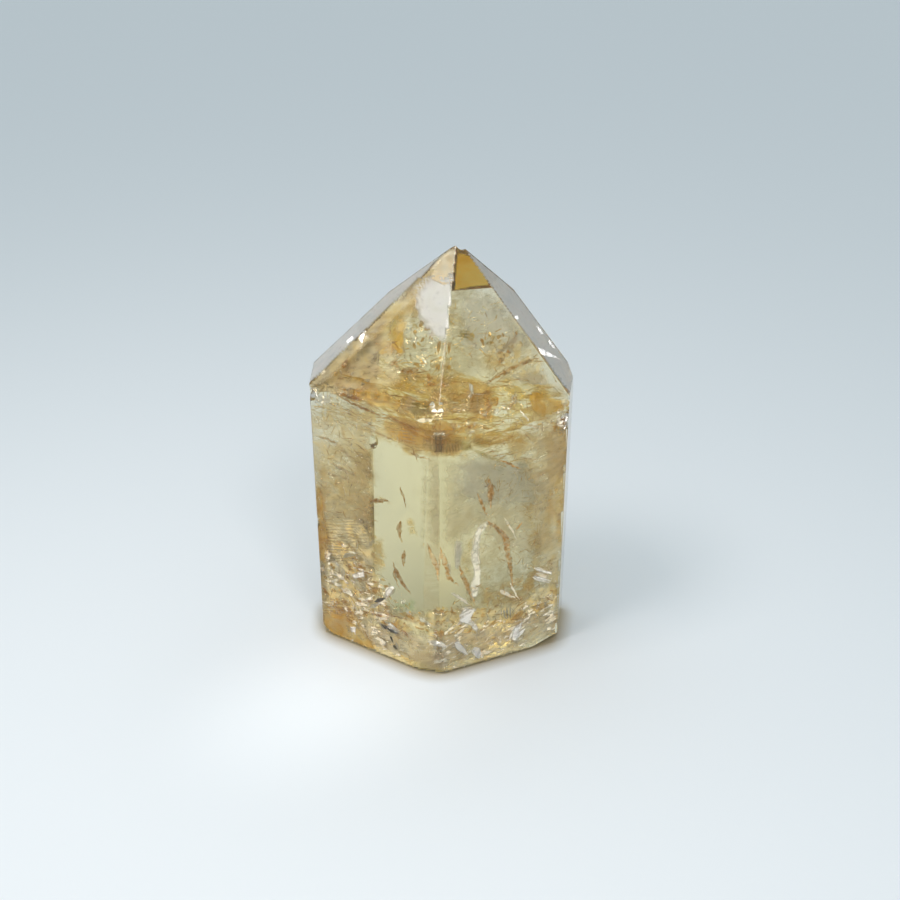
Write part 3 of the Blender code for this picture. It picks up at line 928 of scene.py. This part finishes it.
# painted shade: near-black blades where open slits look dark
SLITS = (
    (0.70, 1.0, 374, 602, 380, 600, 386, 598),
    (0.80, 1.0, 381, 624, 389, 630, 399, 634),
    (0.50, 1.0, 390, 636, 392, 639, 393, 643),
    (0.60, 0.9, 393, 645, 395, 647, 397, 650),
)
# painted highlights: white blades beside the slits and where glints show
SLIT_LIGHTS = (
    (0.80, 0.9, 369, 608, 374, 606, 380, 603),
    (0.90, 0.9, 384, 621, 392, 626, 400, 633),
    (0.60, 0.9, 378, 622, 384, 628, 390, 632),
    (0.50, 0.8, 396, 642, 397, 647, 399, 652),
    (1.00, 1.0, 384, 600, 388, 594, 390, 587),
    (0.90, 1.0, 387, 596, 392, 592, 396, 588),
    (0.80, 1.4, 534, 568, 541, 570, 548, 572),
    (0.80, 1.4, 536, 573, 543, 576, 552, 579),
    (0.70, 1.4, 532, 577, 540, 580, 550, 583),
    (0.80, 1.0, 343, 558, 347, 553, 355, 556),
    (0.80, 1.0, 342, 568, 344, 572, 343, 577),
    (0.90, 1.0, 369, 546, 372, 543, 374, 540),
    (1.20, 0.7, 455, 643, 461, 649, 468, 655),
    (1.60, 0.7, 474, 647, 477, 652, 479, 659),
    (0.90, 0.7, 430, 641, 438, 643, 446, 646),
    (1.00, 1.0, 509, 640, 514, 630, 523, 622),
    (0.90, 1.0, 514, 641, 519, 634, 526, 628),
    (0.90, 2.1, 361, 384, 366, 381, 370, 379),
    (0.90, 2.1, 347, 393, 351, 391, 354, 389),
    (0.80, 0.6, 541, 350, 548, 354, 560, 359),
    (0.80, 0.6, 565, 424, 569, 414, 571, 402),
)
FRONT = (0.12, -1.0, 0.25)  # the side that the blades' flat faces look to
STEPPED = (0.1, -0.87, 0.46)  # the side that the fine steps across them look to
BLADE_STEP = 0.25 * MM  # how far apart a blade's points are along it
BLADE_ROWS = 7  # and how many there are across it
BLADE_RIM = 0.22  # the share of its width over which each edge fades
ENDS = (0.04, 0.03)  # how wide a blade is at its two ends, against its middle
BELLY = ((0.16, 0.62), (0.38, 1.0), (0.62, 0.82), (0.84, 0.42))  # and on the way: place, width
SWAY = 0.5  # how far (mm) a blade winds in depth
SWAY_STEP = 1.7  # the turn (radians) of that winding from one of its pixels to the next
CRUMPLE_WAVES = 1500.0  # waves per metre of the noise that shakes blades and shells


def tree_ends(name, out, sockets):
    """A new Geometry Nodes tree with named inputs, its input node and its output node."""
    tree = bpy.data.node_groups.new(name, "GeometryNodeTree")
    for socket, kind in sockets:
        tree.interface.new_socket(name=socket, in_out="INPUT", socket_type=kind)
    tree.interface.new_socket(name=out, in_out="OUTPUT", socket_type="NodeSocketGeometry")
    return tree, add(tree, "NodeGroupInput").outputs, add(tree, "NodeGroupOutput")


def set_inputs(modifier, **values):
    """Sets a modifier's inputs by their sockets' identifiers, which stay when names change."""
    for item in modifier.node_group.interface.items_tree:
        if item.in_out == "INPUT" and item.name in values:
            modifier[item.identifier] = values[item.name]


def shaken(tree, mesh, size, seed):
    """Moves a mesh's points by noise, by about half of size at most."""
    values = {"Scale": CRUMPLE_WAVES, "Detail": 2.0, "W": seed}
    crumple = add(tree, "ShaderNodeTexNoise", values, noise_dimensions="4D").outputs["Color"]
    centred = vector_calc(tree, "SUBTRACT", crumple, (0.5, 0.5, 0.5))
    offset = vector_calc(tree, "SCALE", centred, size)
    return add(tree, "GeometryNodeSetPosition", {"Geometry": mesh, "Offset": offset}).outputs[0]


def finished(tree, made, out, mesh, finish):
    """Ends a tree: its instances made real, and its material set."""
    real = add(tree, "GeometryNodeRealizeInstances", {"Geometry": mesh}).outputs[0]
    done = add(tree, "GeometryNodeSetMaterial", {"Geometry": real, "Material": finish})
    tree.links.new(done.outputs[0], made.inputs[out])
    return tree


def blade_tree():
    """Curve in, thin ruffled blades out, with the fading of their edges as an attribute."""
    tree, given, made = tree_ends("blade_along_crack", "Blades", (
        ("Cracks", "NodeSocketGeometry"),
        ("Ruffle", "NodeSocketFloat"),
        ("Seed", "NodeSocketFloat"),
        ("Finish", "NodeSocketMaterial"),
    ))
    fine = add(
        tree, "GeometryNodeResampleCurve", {"Curve": given["Cracks"], "Length": BLADE_STEP},
        mode="LENGTH",
    )
    turned = add(
        tree, "GeometryNodeSetCurveNormal", {"Curve": fine.outputs[0], "Normal": FRONT},
        mode="FREE",
    )
    along = add(tree, "GeometryNodeSplineParameter").outputs["Factor"]
    belly = add(tree, "ShaderNodeFloatCurve", {"Value": along})
    shape = belly.mapping.curves[0]
    for place, width in enumerate(ENDS):
        shape.points[place].location = (place, width)
    for place, width in BELLY:
        shape.points.new(place, width)
    belly.mapping.update()
    width = add(tree, "GeometryNodeInputRadius").outputs[0]
    narrowed = add(tree, "GeometryNodeSetCurveRadius", {
        "Curve": turned.outputs[0], "Radius": calc(tree, "MULTIPLY", width, belly.outputs[0]),
    })
    line = add(
        tree, "GeometryNodeCurvePrimitiveLine", {"Start": (0.0, -0.5, 0.0), "End": (0.0, 0.5, 0.0)}
    )
    rows = add(tree, "GeometryNodeResampleCurve", {"Curve": line.outputs[0], "Count": BLADE_ROWS})
    over = add(tree, "GeometryNodeSplineParameter").outputs["Factor"]
    rim = add(tree, "GeometryNodeStoreNamedAttribute", {
        "Geometry": rows.outputs[0],
        "Name": "rim",
        "Value": spread(tree, calc(tree, "PINGPONG", over, 0.5), 0.0, BLADE_RIM),
    }, data_type="FLOAT", domain="POINT")
    blade = add(tree, "GeometryNodeCurveToMesh", {
        "Curve": narrowed.outputs[0], "Profile Curve": rim.outputs[0],
    })
    if "Scale" in blade.inputs:
        size = add(tree, "GeometryNodeInputRadius").outputs[0]
        tree.links.new(size, blade.inputs["Scale"])
    ruffled = shaken(tree, blade.outputs[0], given["Ruffle"], given["Seed"])
    return finished(tree, made, "Blades", ruffled, given["Finish"])


def settle(guide, name):
    """Turns what a tree makes into a plain mesh piece that rides on the stone's body."""
    scene.collection.objects.link(guide)
    made = guide.evaluated_get(bpy.context.evaluated_depsgraph_get())
    mesh = bpy.data.meshes.new_from_object(made)
    bpy.data.objects.remove(guide)
    mesh.name = name
    trim(mesh, lambda vert: depth_inside(np.array([vert.co]))[0] < BARELY)
    mesh.shade_smooth()
    set_inside(name, mesh)


def lay_blades(name, cracks, ruffle, seed, material):
    curve = bpy.data.curves.new(name, "CURVE")
    curve.dimensions = "3D"
    for width, depth, *pixels in cracks:
        x, y = np.array(pixels[::2]), np.array(pixels[1::2])
        sway = SWAY * np.sin(SWAY_STEP * np.arange(len(x)))
        places, side = sight_points(x, y, (depth + sway) * MM)
        spline = curve.splines.new("NURBS")
        spline.points.add(len(places) - 1)
        for point, place in zip(spline.points, places):
            point.co = (*place, 1.0)
            point.radius = width * MM
        spline.use_endpoint_u = True
        spline.order_u = 3
    guide = bpy.data.objects.new(name + "_guide", curve)
    grown = guide.modifiers.new("blades", "NODES")
    grown.node_group = blades
    set_inputs(grown, Ruffle=ruffle * MM, Seed=seed, Finish=material)
    settle(guide, name)


blades = blade_tree()
brown = film_material(
    "brown_feather", (1.0, 0.88, 0.66), (0.70, 0.40, 0.10), (0.42, 0.19, 0.03),
    patch=1500.0, grain=(2200, 2200, 1500), cover=1.2, edge=0.12, lit_rim=0.22,
    stain=0.9, body=0.80, gloss=0.5, sheen=0.35, crumple=0.08, lift=STEPPED, seed=3.0,
)
white = film_material(
    "white_flare", (1.0, 1.0, 1.0), (1.0, 0.99, 0.96), (0.95, 0.93, 0.86),
    patch=700.0, grain=(1500, 1500, 600), cover=1.6, edge=0.5,
    stain=0.0, body=0.97, gloss=0.8, sheen=0.3, crumple=0.04, lift=STEPPED, seed=5.0,
)
# painted shade: a near-black film for the dark that an open slit shows
painted_slit_shade = film_material(
    "open_slit", (0.10, 0.08, 0.05), (0.05, 0.04, 0.02), (0.02, 0.015, 0.01),
    patch=700.0, cover=2.5, edge=0.3, stain=1.0, body=0.9, gloss=0.15, seed=6.0,
)
BLADES = (
    # name, cracks, how far its points are shaken (mm), seed, film
    ("brown_feathers", FEATHERS, 0.9, 1.0, brown),
    ("white_flares", FLARES, 0.7, 4.0, white),
    ("slits", SLITS, 0.2, 8.0, painted_slit_shade),
    # the white blades here are painted highlights
    ("slit_lights", SLIT_LIGHTS, 0.3, 9.0, white),
)
for group in BLADES:
    lay_blades(*group)

# ---- Flakes ----------------------------------------------------------------------------------
# Small shell-shaped cracks, some with air in them, which mirror the light, some rusty. They lie
# scattered on the faces of old fractures, most thickly low down and along the shoulders.
SHELL_SIDES = 6
DOME = 0.22  # how deep a shell is, against its radius
CRUMPLED = 1.6  # how far its corners are shaken, against its size
BED_SPARE = 0.6  # how much deeper than SKIN a bed stays, against its shells' size
HALF_TURN = 3.14
RIB_WAVES, RIB_HEIGHT = 2600.0, 0.12 * MM  # per metre; the fine ribs across a shell
GLANCE = 0.45  # how soon, as a shell turns edge on, it shines rather than lets through
FLAKE_BEDS = (
    # depth (mm), pixels over which the bed thins out, x and y of each corner
    (0.9, 3.0, 346, 346, 360, 324, 378, 318, 374, 342, 352, 356),
    (0.9, 3.0, 324, 372, 340, 352, 358, 352, 350, 366, 330, 380),
    (0.9, 3.0, 518, 312, 530, 312, 552, 336, 562, 356, 540, 352),
    (0.9, 3.0, 560, 390, 576, 390, 575, 432, 562, 428),
    (1.5, 3.0, 306, 388, 320, 390, 318, 404, 308, 404),
    (2.5, 8.0, 318, 560, 350, 540, 392, 590, 440, 620, 440, 672, 380, 652, 322, 630),
    (3.0, 8.0, 425, 600, 480, 600, 530, 590, 556, 560, 558, 632, 500, 655, 440, 672),
    (2.0, 5.0, 352, 330, 374, 322, 376, 345, 345, 362, 326, 362),
    (3.0, 6.0, 335, 378, 372, 374, 376, 394, 344, 396),
    (1.2, 4.0, 520, 312, 532, 318, 566, 352, 560, 362, 536, 346),
    (2.0, 4.0, 562, 392, 574, 392, 573, 428, 530, 432, 528, 420, 556, 418),
    (3.0, 6.0, 455, 325, 506, 330, 506, 350, 460, 348),
    (3.0, 8.0, 420, 430, 470, 384, 520, 400, 470, 450),
    (2.5, 5.0, 382, 584, 397, 584, 398, 600, 384, 600),
    (2.0, 5.0, 314, 440, 322, 438, 324, 452, 316, 452),
    (4.0, 8.0, 380, 330, 450, 310, 446, 400, 390, 380),
)
NEEDLE_BEDS = (
    (1.5, 2.0, 309, 386, 374, 398, 374, 560, 420, 640, 440, 674, 324, 632),
    (2.0, 2.0, 480, 400, 572, 398, 557, 632, 440, 674, 430, 630, 480, 560),
    (3.0, 6.0, 420, 300, 500, 300, 560, 380, 470, 404, 320, 380, 380, 320),
)
STREAK_BEDS = (
    (4.0, 7.0, 312, 392, 380, 400, 440, 418, 520, 446, 548, 466, 480, 464, 424, 456, 370, 440,
     314, 430),
    (5.0, 7.0, 330, 366, 400, 360, 470, 380, 540, 370, 566, 400, 560, 436, 500, 440, 420, 420,
     340, 396),
)
PANE_BEDS = (
    (3.0, 6.0, 318, 530, 372, 530, 396, 590, 420, 610, 440, 640, 438, 670, 380, 652, 324, 626),
    (3.5, 6.0, 430, 620, 480, 610, 530, 580, 556, 540, 558, 630, 500, 652, 440, 672),
    (4.0, 6.0, 330, 370, 380, 360, 440, 390, 440, 430, 340, 400),
)


def scatter_tree():
    """Bed in, small domed and bent shells scattered over it out, each with its own tone."""
    tree, given, made = tree_ends("shells_on_fracture", "Shells", (
        ("Bed", "NodeSocketGeometry"),
        ("Density", "NodeSocketFloat"),
        ("Size", "NodeSocketFloat"),
        ("Narrowest", "NodeSocketVector"),
        ("Widest", "NodeSocketVector"),
        ("Tilt", "NodeSocketFloat"),
        ("Lit", "NodeSocketFloat"),
        ("Spin", "NodeSocketFloat"),
        ("Seed", "NodeSocketInt"),
        ("Finish", "NodeSocketMaterial"),
    ))
    thick = add(
        tree, "GeometryNodeInputNamedAttribute", {"Name": "rim"}, data_type="FLOAT"
    ).outputs["Attribute"]
    points = add(tree, "GeometryNodeDistributePointsOnFaces", {
        "Mesh": given["Bed"],
        "Density": calc(tree, "MULTIPLY", thick, given["Density"]),
        "Seed": given["Seed"],
    })
    disc = add(
        tree, "GeometryNodeMeshCircle", {"Vertices": SHELL_SIDES, "Radius": 1.0},
        fill_type="TRIANGLE_FAN",
    )
    spot = add(tree, "GeometryNodeInputPosition").outputs[0]
    far = add(tree, "ShaderNodeVectorMath", {0: spot}, operation="LENGTH").outputs["Value"]
    sink = add(tree, "ShaderNodeCombineXYZ", {"Z": calc(tree, "MULTIPLY", far, -DOME)})
    shell = add(
        tree, "GeometryNodeSetPosition",
        {"Geometry": disc.outputs["Mesh"], "Offset": sink.outputs[0]},
    )
    scale = add(tree, "FunctionNodeRandomValue", {
        0: given["Narrowest"], 1: given["Widest"], "Seed": given["Seed"],
    }, data_type="FLOAT_VECTOR").outputs[0]
    lean = add(tree, "FunctionNodeRandomValue", {
        0: (-1.0, -1.0, -1.0), 1: (1.0, 1.0, 1.0), "Seed": given["Seed"],
    }, data_type="FLOAT_VECTOR").outputs[0]
    limits = add(tree, "ShaderNodeCombineXYZ", {
        "X": given["Tilt"], "Y": given["Tilt"], "Z": given["Spin"],
    }).outputs[0]
    leaning = vector_calc(tree, "MULTIPLY", lean, limits)
    own = add(tree, "FunctionNodeEulerToRotation", {"Euler": leaning}).outputs[0]
    glint = add(
        tree, "GeometryNodeInputNamedAttribute", {"Name": "glint"}, data_type="FLOAT_VECTOR"
    ).outputs["Attribute"]
    faced = add(tree, "FunctionNodeAlignRotationToVector", {
        "Rotation": points.outputs["Rotation"], "Factor": given["Lit"], "Vector": glint,
    }, axis="Z").outputs[0]
    turn = add(tree, "FunctionNodeRotateRotation", {
        "Rotation": faced, "Rotate By": own,
    }, rotation_space="LOCAL").outputs[0]
    placed = add(tree, "GeometryNodeInstanceOnPoints", {
        "Points": points.outputs["Points"],
        "Instance": shell.outputs[0],
        "Rotation": turn,
        "Scale": vector_calc(tree, "SCALE", scale, given["Size"]),
    })
    chance = add(
        tree, "FunctionNodeRandomValue", {"Seed": given["Seed"]}, data_type="FLOAT"
    ).outputs[1]
    toned = add(tree, "GeometryNodeStoreNamedAttribute", {
        "Geometry": placed.outputs[0], "Name": "tone", "Value": chance,
    }, data_type="FLOAT", domain="INSTANCE")
    real = add(tree, "GeometryNodeRealizeInstances", {"Geometry": toned.outputs[0]}).outputs[0]
    bent = shaken(tree, real, calc(tree, "MULTIPLY", given["Size"], CRUMPLED), 0.0)
    return finished(tree, made, "Shells", bent, given["Finish"])


def shell_material(name, tones, least, most, body, roughness):
    """A parted crack: it lets light straight through or mirrors it, more at a glance.

    tones: (place, colour) along the ramp that each shell's own tone picks from; body: how much of
    what it doesn't let through it scatters rather than mirrors.
    """
    material, tree = film_tree(name)
    tone = add(tree, "ShaderNodeAttribute", attribute_name="tone").outputs["Fac"]
    colour = ramp_colour(tree, tone, tones, "CONSTANT")
    place = add(tree, "ShaderNodeTexCoord").outputs["Object"]
    ribs = noise_node(tree, place, RIB_WAVES, 2.0)
    ribbed = add(tree, "ShaderNodeBump", {"Height": ribs, "Distance": RIB_HEIGHT}).outputs[0]
    glance = add(tree, "ShaderNodeLayerWeight", {"Blend": GLANCE}).outputs["Facing"]
    share = add(
        tree, "ShaderNodeMapRange", {"Value": glance, "To Min": least, "To Max": most}
    ).outputs[0]
    clear = add(tree, "ShaderNodeBsdfTransparent", {"Color": colour}).outputs[0]
    shine = add(
        tree, "ShaderNodeBsdfGlossy", {"Color": colour, "Roughness": roughness, "Normal": ribbed}
    ).outputs[0]
    front = add(tree, "ShaderNodeBsdfDiffuse", {"Color": colour, "Normal": ribbed}).outputs[0]
    film = mix(tree, share, clear, mix(tree, body, shine, front))
    tree.links.new(film, tree.nodes["Material Output"].inputs["Surface"])
    return material


def scatter(name, beds, density, size, narrowest, widest, tilt, seed, material, lit, spin):
    size *= MM
    grids = [patch_points(bed) for bed in beds]
    bed = bpy.data.objects.new(name + "_bed", grid_mesh(name + "_bed", grids, BED_SPARE * size))
    grown = bed.modifiers.new("shells", "NODES")
    grown.node_group = shells
    set_inputs(
        grown, Density=density, Size=size, Narrowest=narrowest, Widest=widest, Tilt=tilt,
        Seed=seed, Finish=material, Lit=lit, Spin=spin,
    )
    settle(bed, name)


AIR = (1.0, 0.99, 0.96, 1.0)
CREAM = (1.0, 0.92, 0.72, 1.0)
HONEY = (0.96, 0.76, 0.38, 1.0)
TAN = (0.84, 0.62, 0.30, 1.0)
RUST = (0.66, 0.40, 0.12, 1.0)
STRAW_PALE = (0.98, 0.88, 0.62, 1.0)
TAN_PALE = (0.92, 0.76, 0.46, 1.0)
shells = scatter_tree()
mirror = shell_material(
    "air_shell", ((0.0, AIR), (0.5, CREAM), (0.85, HONEY)), 0.45, 0.95, 0.1, 0.05
)
stained = shell_material(
    "stained_shell", ((0.0, HONEY), (0.35, CREAM), (0.6, TAN), (0.96, RUST)), 0.25, 0.7, 0.4, 0.1
)
pane = shell_material(
    "broken_pane", ((0.0, CREAM), (0.35, STRAW_PALE), (0.55, AIR), (0.82, TAN_PALE), (0.97, TAN)),
    0.15, 0.75, 0.3, 0.25,
)
hair = shell_material(
    "fine_hair", ((0.0, STRAW_PALE), (0.35, CREAM), (0.6, TAN_PALE), (0.85, TAN)),
    0.25, 0.7, 0.5, 0.15,
)
SCATTERED = (
    # name, beds, shells per square metre, size (mm), narrowest, widest, greatest tilt (radians),
    # seed, film, how far they turn to where they glint, and how far they spin (radians)
    ("mirror_flakes", FLAKE_BEDS, 7e5, 0.38, (0.4, 0.3, 0.3), (1.8, 1.1, 1.0), 0.5, 7,
     mirror, 1.0, HALF_TURN),
    ("stained_flakes", FLAKE_BEDS, 4e5, 0.5, (0.4, 0.2, 0.3), (2.2, 0.9, 1.0), 0.5, 19,
     stained, 0.7, HALF_TURN),
    ("broken_panes", PANE_BEDS, 1.6e5, 1.1, (0.4, 0.3, 0.2), (1.8, 1.1, 0.8), 0.35, 29,
     pane, 0.8, HALF_TURN),
    ("bright_needles", NEEDLE_BEDS, 6e5, 0.5, (0.4, 0.05, 0.1), (2.4, 0.16, 0.2), 0.8, 37,
     mirror, 1.0, HALF_TURN),
    ("fine_needles", NEEDLE_BEDS, 4e5, 0.5, (0.4, 0.04, 0.1), (2.4, 0.14, 0.2), 0.6, 23,
     hair, 0.0, HALF_TURN),
    ("crack_streaks", STREAK_BEDS, 9e5, 0.5, (1.0, 0.04, 0.1), (4.5, 0.16, 0.2), 0.3, 41,
     hair, 0.0, 0.25),
    ("bright_streaks", STREAK_BEDS, 2.5e5, 0.5, (0.6, 0.05, 0.1), (2.6, 0.2, 0.2), 0.5, 43,
     mirror, 0.0, 0.3),
)
for group in SCATTERED:
    scatter(*group)
